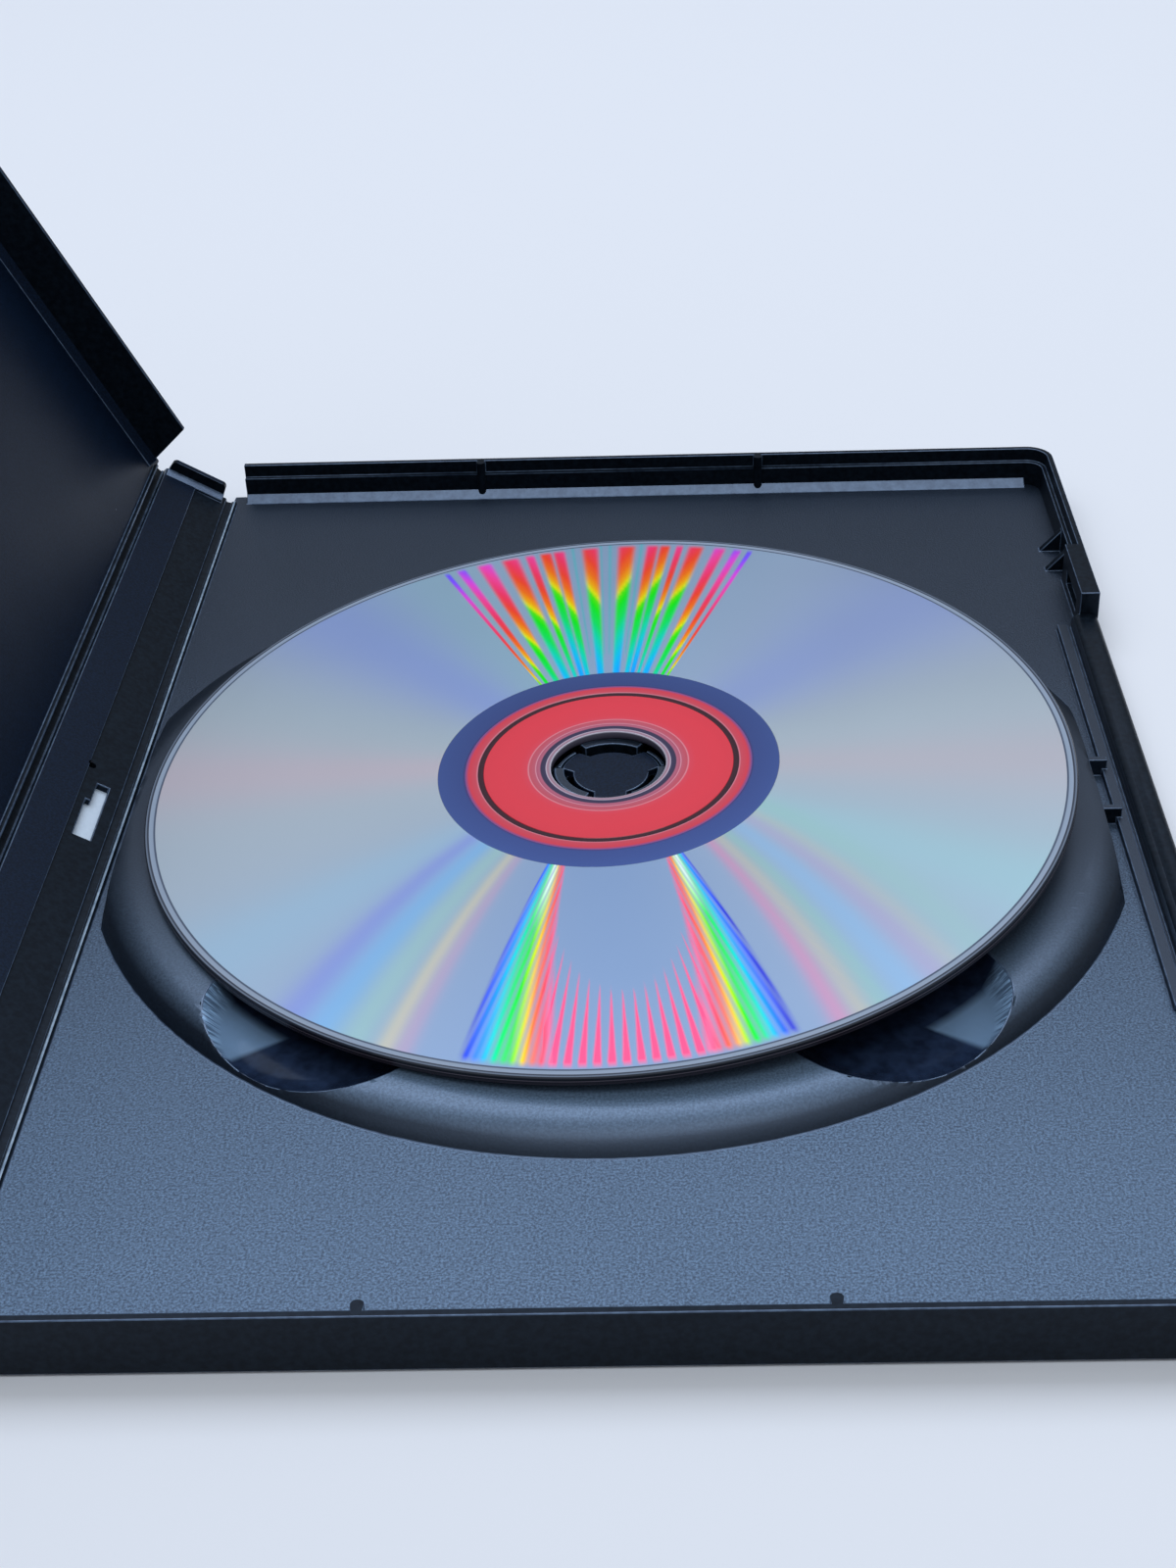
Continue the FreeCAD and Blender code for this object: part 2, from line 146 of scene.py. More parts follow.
# camera at the photograph's view
view = {
    "eye": (8.58, -239.76, 163.11),       # mm
    "turns": (0.02365, 0.95948, -0.03194),  # about Z, then X, then Z, in radians
    "focal": 2238.07,                     # in pixels of the 1200 x 1600 frame
    "axisAt": (648.56, 864.63),           # pixel on the lens axis
    "frame": (1200, 1600),
    "sensor": 36.0,                       # mm, on the long side
    "nearClip": 0.01,                     # m
}


def makeCamera(cfg):
    turnOut, tip, turnIn = cfg["turns"]
    turn = Matrix.Rotation(turnOut, 4, "Z") @ Matrix.Rotation(tip, 4, "X") @ Matrix.Rotation(turnIn, 4, "Z")
    lens = bpy.data.cameras.new("photoCamera")
    lens.sensor_fit = "VERTICAL"
    lens.sensor_height = cfg["sensor"]
    width, height = cfg["frame"]
    lens.lens = cfg["focal"] * cfg["sensor"] / height
    lens.shift_x = (width / 2 - cfg["axisAt"][0]) / height
    lens.shift_y = (cfg["axisAt"][1] - height / 2) / height
    lens.clip_start = cfg["nearClip"]
    camera = bpy.data.objects.new("photoCamera", lens)
    camera.matrix_world = Matrix.Translation(Vector(cfg["eye"]) * mm) @ turn
    scene.collection.objects.link(camera)
    scene.camera = camera


makeCamera(view)
print("camera placed")


# floor, sky and soft boxes
studio = {
    "floorHalf": 3.0,                       # m
    "floor": "#e6e9ed", "floorRoughness": 0.9,
    "sky": "#e9eff8",
    "skyLow": 0.14, "skyHigh": 0.78,        # strength at the horizon and overhead
    "skyRise": (0.36, 0.72),                # sine of the elevation where it starts and stops rising
    "boxes": [            # name, centre (m), aims at (m), width and depth (m), watts, colour
        ("farSoftBox", (0.0, 0.60, 1.16), (0, -0.06, 0), (1.6, 0.7), 8.4, "#e6eeff"),
        ("frontSoftBox", (0.1, -0.40, 1.25), (0, 0, 0), (1.0, 0.5), 3.4, "#f4f8ff"),
    ],
}


def makeStudio(cfg):
    half = cfg["floorHalf"]
    mesh = bpy.data.meshes.new("floor")
    corners = [(-half, -half, 0), (half, -half, 0), (half, half, 0), (-half, half, 0)]
    mesh.from_pydata(corners, [], [(0, 1, 2, 3)])
    board = newMaterial("paleMattBoard", {"Base Color": opaque(cfg["floor"]),
                                          "Roughness": cfg["floorRoughness"]})
    mesh.materials.append(board[0])
    floor = bpy.data.objects.new("floor", mesh)
    scene.collection.objects.link(floor)
    world = bpy.data.worlds.new("softSky")
    world.use_nodes = True
    tree = world.node_tree
    tree.nodes.clear()
    aim = addNode(tree, "SeparateXYZ", {0: addNode(tree, "TexCoord").outputs["Generated"]})
    rise = remap(tree, aim.outputs["Z"], cfg["skyRise"], (cfg["skyLow"], cfg["skyHigh"]), "SMOOTHSTEP")
    glow = addNode(tree, "Background", {"Color": opaque(cfg["sky"]), "Strength": rise})
    addNode(tree, "OutputWorld", {"Surface": glow.outputs[0]})
    scene.world = world
    for name, centre, target, size, watts, colour in cfg["boxes"]:
        lamp = bpy.data.lights.new(name, "AREA")
        lamp.shape = "RECTANGLE"
        lamp.size, lamp.size_y = size
        lamp.energy = watts
        lamp.color = linear(colour)
        box = bpy.data.objects.new(name, lamp)
        box.location = centre
        box.rotation_euler = (Vector(target) - Vector(centre)).to_track_quat("-Z", "Y").to_euler()
        scene.collection.objects.link(box)


makeStudio(studio)
print("studio lit")


# black polypropylene, injection moulded: each finish is the steel it was moulded against
polypropylene = {
    "index": 1.49,             # of refraction
    "dust": "#76828f",         # stray dust, which black plastic always shows
    "dustSpacing": 9.0,        # mm
    "dustRadius": 0.10,        # mm, drawn larger than real dust so that it shows
    "cloudSize": 45.0,         # mm, slow clouding of the gloss
    "clouding": (0.3, 0.7),    # span of the noise over which the roughness changes
    "uneven": 0.05,            # how far the roughness strays both ways
    "peaks": (0.35, 0.68),     # span of the grain from dark to lit
    "sheen": "#c4dcff",        # tint of the gloss under a blue sky
    # colour and that of its lit peaks, gloss, and grain size and depth in mm
    # painted light grows from far to near along Y and from low to high, in mm
    # a painted reflection fades between two angles in degrees, two radii from the hub and two heights in mm
    "finishes": {
        # spark eroded: a matt grain whose peaks grey the black; drawn coarser than it is so that it shows
        "spark": {"colour": "#060c14", "peak": "#1e2a38", "gloss": 0.7, "roughness": 0.42, "grain": 0.28,
                  "depth": 0.06,
                  # painted light: the panel drawn paler towards the near side
                  "paintedLight": {"colour": "#334152", "peak": "#6b86a2", "far": 48.0, "near": -95.0,
                           "low": 0.0, "high": 1.0}},
        # blasted: an even satin
        "satin": {"colour": "#0a1017", "peak": "#151e28", "gloss": 0.9, "roughness": 0.36, "grain": 0.30,
                  "depth": 0.012,
                  # painted highlight: the pedestal's upper flank and top drawn paler on the near side
                  "paintedLight": {"colour": "#4c5f72", "peak": "#698199", "far": -8.0, "near": -66.0,
                           "low": 3.1, "high": 4.6}},
        # hand polished: a wet, faintly wavy black, with a streaked pale painted reflection on one side of
        # each scoop, high up and beyond the disc's rim
        "polish": {"colour": "#151f31", "peak": "#223048", "gloss": 0.4, "roughness": 0.16, "grain": 2.2,
                   "depth": 0.02,
                   "paintedReflection": {"colour": "#a2caf0", "centre": (32.3, 44.1, 0.0), "full": 28.0, "none": 35.0,
                           "outside": (59.0, 60.4), "streaks": 24.0, "length": 5.0, "from": 2.0, "to": 3.6,
                           "contrast": 3.4, "haze": 0.34}},
        # walls, polished along the draw of the mould: a duller gloss
        "drawn": {"colour": "#0a1017", "peak": "#141d26", "gloss": 0.16, "roughness": 0.36, "grain": 0.8,
                  "depth": 0.010},
        # the broad plain faces of spine and lid: deep black with a fine satin
        "plain": {"colour": "#060e1b", "peak": "#0f1e33", "gloss": 0.2, "roughness": 0.38, "grain": 0.30,
                  "depth": 0.010},
        # softened edges: rounded over, their pale colour a painted highlight
        "edge": {"colour": "#38465a", "peak": "#54677e", "gloss": 1.0, "roughness": 0.22, "grain": 1.6,
                 "depth": 0.010},
        # hinge bead: a painted highlight, pale along its top
        "bead": {"colour": "#71869a", "peak": "#9fb3c4", "gloss": 0.6, "roughness": 0.30, "grain": 1.6,
                 "depth": 0.010},
    },
}


def paintNearLight(tree, place, lit, black, paintedLight):  # painted light: paler towards the near side, more on what stands higher
    spot = addNode(tree, "SeparateXYZ", {0: place})
    near = remap(tree, spot.outputs["Y"], (paintedLight["far"] * mm, paintedLight["near"] * mm), curve="SMOOTHSTEP")
    raised = remap(tree, spot.outputs["Z"], (paintedLight["low"] * mm, paintedLight["high"] * mm), (0.0, near))
    grey = mixColour(tree, lit, opaque(paintedLight["colour"]), opaque(paintedLight["peak"]))
    return mixColour(tree, raised, black, grey)


def paintReflection(tree, place, black, paintedReflection):
    # painted reflection: pale streaks that run to the middle of each scoop, on one side of it and where the
    # disc leaves it bare
    folded = addNode(tree, "VectorMath", {0: place}, operation="ABSOLUTE").outputs[0]
    middle = Vector(paintedReflection["centre"]) * mm
    out = addNode(tree, "VectorMath", {0: folded, 1: middle}, operation="SUBTRACT").outputs[0]
    part = addNode(tree, "SeparateXYZ", {0: out})
    turn = reckon(tree, "ARCTAN2", part.outputs["Y"], part.outputs["X"])
    fade = remap(tree, turn, (math.radians(paintedReflection["none"]), math.radians(paintedReflection["full"])), curve="SMOOTHSTEP")
    fromHub = addNode(tree, "VectorMath", {0: place}, operation="LENGTH").outputs["Value"]
    bare = remap(tree, fromHub, (paintedReflection["outside"][0] * mm, paintedReflection["outside"][1] * mm), (0.0, fade))
    reach = addNode(tree, "VectorMath", {0: out}, operation="LENGTH").outputs["Value"]
    along = reckon(tree, "DIVIDE", reach, paintedReflection["length"] * mm)
    around = reckon(tree, "MULTIPLY", turn, paintedReflection["streaks"])
    polar = addNode(tree, "CombineXYZ", {"X": around, "Y": along}).outputs[0]
    streak = addNode(tree, "TexNoise", {"Vector": polar, "Scale": 1.0, "Detail": 5.0, "Roughness": 0.65,
                                        "Distortion": 0.5}).outputs["Fac"]
    level = reckon(tree, "SUBTRACT", streak, 0.5)
    high = remap(tree, part.outputs["Z"], (paintedReflection["from"] * mm, paintedReflection["to"] * mm), (0.0, paintedReflection["contrast"]))
    shade = reckon(tree, "MULTIPLY_ADD", level, high, paintedReflection["haze"])
    least = reckon(tree, "MAXIMUM", shade, paintedReflection["haze"] / 2)
    reflectionShare = reckon(tree, "MULTIPLY", least, bare, use_clamp=True)
    return mixColour(tree, reflectionShare, black, opaque(paintedReflection["colour"]))


def mouldedBlack(cfg, finishName):
    finish = cfg["finishes"][finishName]
    material, tree, shader = newMaterial("blackPolypropylene_" + finishName,
                                         {"IOR": cfg["index"], "Specular IOR Level": finish["gloss"],
                                          "Specular Tint": opaque(cfg["sheen"])})
    place = addNode(tree, "TexCoord").outputs["Object"]
    cloud = noise(tree, place, cfg["cloudSize"], 3.0)
    grain = noise(tree, place, finish["grain"], 2.0, Roughness=0.6)
    lit = remap(tree, grain, cfg["peaks"])
    black = mixColour(tree, lit, opaque(finish["colour"]), opaque(finish["peak"]))
    # painted light: paler towards the near side and higher up
    if "paintedLight" in finish:
        black = paintNearLight(tree, place, lit, black, finish["paintedLight"])
    # painted reflection: a pale streaked patch on the polished scoops
    if "paintedReflection" in finish:
        black = paintReflection(tree, place, black, finish["paintedReflection"])
    specks = addNode(tree, "TexVoronoi", {"Vector": place, "Scale": 1 / (cfg["dustSpacing"] * mm)})
    speck = reckon(tree, "LESS_THAN", specks.outputs["Distance"], cfg["dustRadius"] / cfg["dustSpacing"])
    dusty = mixColour(tree, speck, black, opaque(cfg["dust"]))
    bump = addNode(tree, "Bump", {"Height": grain, "Strength": 1.0, "Distance": finish["depth"] * mm})
    rough = remap(tree, cloud, cfg["clouding"],
                  (finish["roughness"] - cfg["uneven"], finish["roughness"] + cfg["uneven"]))
    tree.links.new(dusty, shader.inputs["Base Color"])
    tree.links.new(rough, shader.inputs["Roughness"])
    tree.links.new(bump.outputs[0], shader.inputs["Normal"])
    return material


finishNames = list(polypropylene["finishes"])
blackFinishes = [mouldedBlack(polypropylene, name) for name in finishNames]
print("plastic finishes made:", len(blackFinishes))


# the mouldings: merged copies of the solids with softened edges, each face given the finish of its region
moulding = {
    "weld": 1e-6,              # m, joins the loose triangles
    "flat": 0.3,               # degrees, facets flatter than this become one face
    "crease": 18.0,            # degrees, edges sharper than this are softened
    "smooth": 9.0,             # degrees, facets flatter than this are shaded as one curve
    "softEdge": 0.13,          # mm
    "softSteps": 2,
    "slim": 0.3, "tight": 0.4,  # mm, narrower faces and shorter inner corners than these keep crisp edges
    "bowlRim": 2.2,            # mm, ring that eases each scoop's wall into its floor
    "level": 0.99,             # share of the normal along Z over which a face counts as level
}


def mouldedPiece(name, node, body, pickFinish, cfg):
    bm = bmesh.new()
    bm.from_mesh(frame["nodes"][node].data)
    bmesh.ops.remove_doubles(bm, verts=bm.verts, dist=cfg["weld"])
    bmesh.ops.dissolve_limit(bm, angle_limit=math.radians(cfg["flat"]), verts=bm.verts, edges=bm.edges)
    polish = finishNames.index("polish")
    centres = np.array([face.calc_center_median() for face in bm.faces]) / mm
    picked = pickFinish(centres, np.array([face.normal for face in bm.faces]))
    for face, finish in zip(bm.faces, picked):
        face.material_index = int(finish)
        face.smooth = True
    bowls = [face for face in bm.faces if face.material_index == polish and face.normal.z > cfg["level"]]
    bmesh.ops.inset_region(bm, faces=bowls, thickness=cfg["bowlRim"] * mm)
    weight = bm.edges.layers.float.new("bevel_weight_edge")
    width = {face: face.calc_area() / max(edge.calc_length() for edge in face.edges) for face in bm.faces}
    crisp = set()                          # corners that meet an edge with no room to be softened
    for edge in bm.edges:
        sharp = math.degrees(edge.calc_face_angle(0.0))
        polished = sum(face.material_index == polish for face in edge.link_faces)
        inBowl = polished == 2
        edge.smooth = inBowl or sharp < cfg["smooth"]
        slim = not polished and any(width[face] < cfg["slim"] * mm for face in edge.link_faces)
        tight = not edge.is_convex and edge.calc_length() < cfg["tight"] * mm
        edge[weight] = float(sharp > cfg["crease"] and not (inBowl or slim or tight))
        if sharp > cfg["crease"] and (slim or tight):
            crisp.update(edge.verts)
    for edge in bm.edges:                  # an inner corner that runs into one of those stays crisp too
        if not edge.is_convex and crisp.intersection(edge.verts):
            edge[weight] = 0.0
    mesh = bpy.data.meshes.new(name)
    bm.to_mesh(mesh)
    bm.free()
    piece = newPiece(name, mesh, body, blackFinishes)
    soft = piece.modifiers.new("softEdges", "BEVEL")
    soft.width = cfg["softEdge"] * mm
    soft.segments = cfg["softSteps"]
    soft.limit_method = "WEIGHT"
    soft.harden_normals = True
    soft.use_clamp_overlap = False
    # the bevels get the edge finish, whose pale colour is a painted highlight
    soft.material = finishNames.index("edge")
    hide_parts(node)


trayRegions = {
    "panelTop": 1.7,           # mm
    "pedestalRadius": 67.4,
    "scoopAt": (32.3, 44.1),
    "scoopRadius": 12.0,       # at the floor, the cone opens at 45 degrees
    "scoopFloor": 1.9,
    "footTop": 3.0,            # top of the slopes at the feet of the walls
    "nearTop": 0.15,           # mm each way from the panel's top
    "overTop": 0.05,           # mm over it, where the pedestal starts
    "slack": 0.1,              # mm, round the scoops
    "level": 0.95, "slope": 0.3,  # share of the normal along Z of level and of sloping faces
}
hingeRegions = {
    "groove": 1.25,            # mm from the hinge axis along the panel
    "bead": 1.98,              # outer side of the bead beside the groove
    "beadFoot": 1.02,          # height of the bead's foot over the axis
    "strip": 6.0,              # width of the spine's lowered strip
    "top": 0.9,                # share of the normal into the case on the bead's top
    "level": 0.97, "slope": 0.3,  # the same for level and for sloping faces
    "endward": 0.2,            # share of the normal along Y on the slopes at the ends
}


def besideHinge(centres, jointName, tilt, side):  # mm along a panel from its hinge axis, and over that axis
    place = np.array(joints[jointName]["pos_m"]) / mm
    x, z = centres[:, 0] - place[0], centres[:, 2] - place[2]
    c, s = math.cos(math.radians(tilt)), math.sin(math.radians(tilt))
    return side * (x * c - z * s), x * s + z * c


def facingIn(normals, tilt):  # share of each normal that looks straight into the case
    return normals[:, 0] * math.sin(math.radians(tilt)) + normals[:, 2] * math.cos(math.radians(tilt))


def markBead(picked, along, over, inward, finish):  # dark in the groove, the finish along the bead's top
    cfg = hingeRegions
    picked[along < cfg["bead"]] = finishNames.index("drawn")
    onBead = (along > cfg["groove"]) & (along < cfg["bead"])
    picked[onBead & (over > cfg["beadFoot"]) & (inward > cfg["top"])] = finishNames.index(finish)


def trayFinish(centres, normals):
    cfg = trayRegions
    x, y, z = centres.T
    up = normals[:, 2]
    picked = np.full(len(centres), finishNames.index("drawn"))
    onPanel = (up > cfg["level"]) & (np.abs(z - cfg["panelTop"]) < cfg["nearTop"])
    picked[onPanel] = finishNames.index("spark")
    onPedestal = (np.hypot(x, y) < cfg["pedestalRadius"]) & (z > cfg["panelTop"] + cfg["overTop"]) & (up > 0)
    picked[onPedestal] = finishNames.index("satin")
    away = np.hypot(np.abs(x) - cfg["scoopAt"][0], np.abs(y) - cfg["scoopAt"][1])
    inCone = away < cfg["scoopRadius"] + z - cfg["scoopFloor"] + cfg["slack"]
    inScoop = inCone & (z > cfg["scoopFloor"] - cfg["slack"]) & onPedestal
    sloped = (up < cfg["level"]) | (z < cfg["scoopFloor"] + cfg["slack"])
    picked[inScoop & sloped] = finishNames.index("polish")
    # the slopes at the feet of the walls get the edge finish: a painted highlight
    atFoot = (up > cfg["slope"]) & (up < cfg["level"]) & ~onPedestal & (z < cfg["footTop"])
    picked[atFoot] = finishNames.index("edge")
    along, over = besideHinge(centres, "spine_hinge", panelTilt["tray"], 1)
    # the tray's bead gets the bead finish: a painted highlight along its top
    markBead(picked, along, over, up, "bead")
    return picked


def spineFinish(centres, normals):
    cfg = hingeRegions
    along = besideHinge(centres, "spine_hinge", panelTilt["spine"], -1)[0]
    inward = facingIn(normals, panelTilt["spine"])
    picked = np.full(len(centres), finishNames.index("drawn"))
    picked[(inward > cfg["level"]) & (along > cfg["strip"])] = finishNames.index("plain")
    sloped = (inward > cfg["slope"]) & (inward < cfg["level"])
    # sloped end faces get the edge finish: a painted highlight
    picked[sloped & (np.abs(normals[:, 1]) > cfg["endward"])] = finishNames.index("edge")
    return picked


def coverFinish(centres, normals):
    inward = facingIn(normals, panelTilt["front_cover"])
    picked = np.where(inward > hingeRegions["slope"], finishNames.index("plain"), finishNames.index("drawn"))
    along, over = besideHinge(centres, "cover_hinge", panelTilt["front_cover"], -1)
    # the lid's bead gets the edge finish: a painted highlight along its top
    markBead(picked, along, over, inward, "edge")
    return picked


def plainAll(centres, normals):
    return np.full(len(centres), finishNames.index("plain"))


mouldedPiece("trayMoulding", "tray", "tray", trayFinish, moulding)
mouldedPiece("spineMoulding", "spine", "spine", spineFinish, moulding)
mouldedPiece("coverMoulding", "front_cover", "front_cover", coverFinish, moulding)
mouldedPiece("pressButton", "hub_button", "hub_button", plainAll, moulding)
print("mouldings dressed")


# paper insert and clear film
sheets = {
    "paper": "#d3e2f0",
    "fibre": "#c3d4e4",
    "fibreSize": 0.6,          # mm
    "paperRoughness": 0.7, "coat": 0.4, "coatRoughness": 0.35,
    "film": "#ffffff",
    "filmAlpha": 0.12,
    "filmIndex": 1.49,         # of refraction
    "waveSize": 18.0, "waveDepth": 0.03,  # mm, slow ripple of the film
    "filmRoughness": (0.24, 0.34),
    "clear": 0.03,             # mm, thin air between film and paper
    "sides": [("back", "tray"), ("spine", "spine"), ("front", "front_cover")],   # panel and its body
}


def printingPaper(cfg):  # coated printing paper: white with a faint fibre and a soft sheen
    material, tree, shader = newMaterial("whitePaper", {
        "Roughness": cfg["paperRoughness"], "Coat Weight": cfg["coat"],
        "Coat Roughness": cfg["coatRoughness"]})
    place = addNode(tree, "TexCoord").outputs["Object"]
    fibre = noise(tree, place, cfg["fibreSize"], 4.0)
    tone = mixColour(tree, fibre, opaque(cfg["paper"]), opaque(cfg["fibre"]))
    tree.links.new(tone, shader.inputs["Base Color"])
    return material


def clearFilm(cfg):  # cast polypropylene film: glossy and almost invisible where it lies on the paper
    material, tree, shader = newMaterial("clearFilm", {
        "Base Color": opaque(cfg["film"]), "Alpha": cfg["filmAlpha"], "IOR": cfg["filmIndex"]})
    place = addNode(tree, "TexCoord").outputs["Object"]
    wave = noise(tree, place, cfg["waveSize"], 1.0)
    bump = addNode(tree, "Bump", {"Height": wave, "Strength": 1.0, "Distance": cfg["waveDepth"] * mm})
    rough = remap(tree, wave, (0.0, 1.0), cfg["filmRoughness"])
    tree.links.new(bump.outputs[0], shader.inputs["Normal"])
    tree.links.new(rough, shader.inputs["Roughness"])
    return material


paperMaterial = printingPaper(sheets)
filmMaterial = clearFilm(sheets)


def filmPiece(side, body, cfg):  # a merged copy of the film, its inner face drawn back from the paper
    mesh = frame["nodes"]["sleeve_" + side].data.copy()
    mesh.materials.clear()
    tilt = math.radians(panelTilt[body])
    outward = np.array((-math.sin(tilt), 0.0, -math.cos(tilt)))
    points = np.empty(len(mesh.vertices) * 3)
    mesh.vertices.foreach_get("co", points)
    points = points.reshape(-1, 3)
    height = points @ outward
    points[height < (height.min() + height.max()) / 2] += outward * cfg["clear"] * mm
    mesh.vertices.foreach_set("co", points.ravel())
    bm = bmesh.new()
    bm.from_mesh(mesh)
    bmesh.ops.remove_doubles(bm, verts=bm.verts, dist=moulding["weld"])
    for face in bm.faces:
        face.smooth = False
    bm.to_mesh(mesh)
    bm.free()
    piece = newPiece("film_" + side, mesh, body, [filmMaterial])
    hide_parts("sleeve_" + side)


for side, body in sheets["sides"]:
    filmPiece(side, body, sheets)
    paper = frame["nodes"]["insert_" + side].data
    paper.materials.clear()
    paper.materials.append(paperMaterial)
print("paper and film finished")


# living hinges: web, paper and film each bend round both hinge lines
bends = {
    "hinges": [                # joint and the bodies on its two sides
        ("spine_hinge", "tray", "spine"),
        ("cover_hinge", "spine", "front_cover"),
    ],
    # name, distance outside the hinge axis, reach each side, thickness and half length in mm, slot
    "layers": [
        ("web", 0.0, 0.75, 0.34, 94.6, "black_polypropylene"),
        ("paper", 0.49, 1.3, 0.17, 91.5, "white_paper"),
        ("film", 0.64, 1.3, 0.11, 94.4, "clear_film"),
    ],
    "steps": 9,
}


def bandMesh(name, centreLine, thickness, half):
    # a band of even thickness: the centre line moved both ways along its own normals, carried along Y
    run = np.gradient(centreLine, axis=0)
    run /= np.linalg.norm(run, axis=1)[:, None]
    side = np.stack([-run[:, 1], run[:, 0]], axis=1) * thickness / 2
    section = np.concatenate([centreLine + side, (centreLine - side)[::-1]])
    n = len(section)
    ends = [np.stack([section[:, 0], np.full(n, y), section[:, 1]], axis=1) for y in (-half, half)]
    ring = np.arange(n)
    after = np.roll(ring, -1)
    sides = np.stack([ring, after, after + n, ring + n], axis=1).tolist()
    mesh = bpy.data.meshes.new(name)
    caps = [ring[::-1].tolist(), (ring + n).tolist()]
    mesh.from_pydata((np.concatenate(ends) * mm).tolist(), [], sides + caps)
    faceOutward(mesh)
    return mesh


def hingeBend(axis, tilts, outside, reach, steps):
    # straight, then an arc of the given radius about the hinge axis, then straight along the second side
    low, high = np.radians(tilts)
    first = np.array([math.cos(low), -math.sin(low)])   # from the hinge along the first side
    second = np.array([-math.cos(high), math.sin(high)])
    turn = np.linspace(low, high, steps)
    arc = np.stack([-np.sin(turn), -np.cos(turn)], axis=1) * outside
    if outside == 0:                                     # a web through the axis bends like a soft corner
        t = np.linspace(0, 1, steps)[:, None]
        return axis + first * reach * (1 - t) ** 2 + second * reach * t ** 2
    return np.concatenate([[axis + arc[0] + first * reach], axis + arc, [axis + arc[-1] + second * reach]])


layerMaterials = {
    "web": blackFinishes[finishNames.index("drawn")],
    "paper": paperMaterial,
    "film": filmMaterial,
}
for jointName, bodyA, bodyB in bends["hinges"]:
    place = np.array(joints[jointName]["pos_m"]) / mm
    tilts = (panelTilt[bodyA], panelTilt[bodyB])
    for layer, outside, reach, thickness, half, slot in bends["layers"]:
        line = hingeBend(place[[0, 2]], tilts, outside, reach, bends["steps"])
        mesh = bandMesh(jointName + "_" + layer, line, thickness, half)
        band = newPiece(jointName + "_" + layer, mesh, None, [layerMaterials[layer]])
        inner = slice(1, -1) if outside else slice(None)
        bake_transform(band)
print("hinges bent")


# the disc, data side up: rings of finish, and the rainbow that its tracks throw, painted into its colour as a
# fixed reflection
disc = {
    "thickness": 1.2,                     # mm
    "tiltX": 1.479, "tiltY": -2.22,       # degrees, as it lies over the hub
    "dataFrom": 22.25,                    # mm, inner radius of the data area
    "dataSteps": 34,
    "fineAngle": 0.16, "coarseAngle": 1.0,  # degrees between columns, inside and outside the rainbow fans
    "fanHalf": 30.0,                      # degrees
    "crease": 20.0,                       # degrees, steps sharper than this are shaded as edges
    "index": 1.58,                        # of refraction, polycarbonate
    "coatRoughness": 0.04,
    "hazeSize": 22.0, "uneven": 0.05,     # mm, slow change of roughness and how far it strays both ways
}


def paintedRainbowTop(r, clock):
    # painted rainbow reflection: streaks at fixed angles, each with its own radius where green turns yellow,
    # from which its colour runs
    cfg = {
        "streaks": [           # angle and half width in degrees, radius of the yellow in mm
            (-25.4, 0.4, 24.0), (-23.2, 0.7, 28.0), (-19.6, 1.1, 34.0), (-15.6, 1.3, 42.0),
            (-12.6, 0.7, 38.0), (-10.2, 0.9, 47.3), (-8.2, 0.9, 41.3), (-3.5, 1.25, 44.6), (2.0, 1.3, 46.0),
            (5.9, 0.9, 42.0), (7.8, 0.8, 47.8), (10.0, 0.55, 39.5), (12.5, 1.15, 45.0), (16.1, 0.9, 35.0),
            (18.8, 0.65, 29.0), (20.7, 0.4, 24.5)],
        "flanks": 5,           # power that squares off the streaks' sides
        "slant": 2.2,          # mm per degree, up towards both sides
        "threads": [(-6.1, 0.25), (-1.9, 0.2), (-0.5, 0.25), (4.2, 0.25)],   # thin lines between the streaks
        "thread": "#58bcc2", "threadCover": 0.7, "threadFrom": 27,
        "rimFade": (58.5, 57.8),
        "stops": [(-26, "#00a8ff"), (-20, "#00c4f0"), (-14, "#00dcb8"), (-9, "#00e860"), (-4, "#00f000"),
                  (-1.5, "#58f000"), (0, "#f0f000"), (2, "#ffb400"), (5, "#ff7a10"), (9, "#ff4a2a"),
                  (14, "#ff3a66"), (20, "#ff4aa0"), (26, "#e850e0"), (31, "#8a58ff"), (36, "#5a60f0")],
    }
    hue = np.zeros(r.shape + (3,))
    cover = np.zeros_like(r)
    for at, half, yellow in cfg["streaks"]:
        own = np.exp(-np.abs((clock - at) / half) ** cfg["flanks"])
        lean = cfg["slant"] * (clock - at) * (1 if at > 0 else -1)
        hue = np.where((own > cover)[..., None], ramp(r - yellow - lean, cfg["stops"]), hue)
        cover = np.maximum(cover, own)
    thread = np.zeros_like(r)
    for at, half in cfg["threads"]:
        thread = np.maximum(thread, np.exp(-((clock - at) / half) ** 2))
    threadCover = cfg["threadCover"] * thread * (r > cfg["threadFrom"])
    return hue, cover * smoothStep(*cfg["rimFade"], r), linear(cfg["thread"]), threadCover


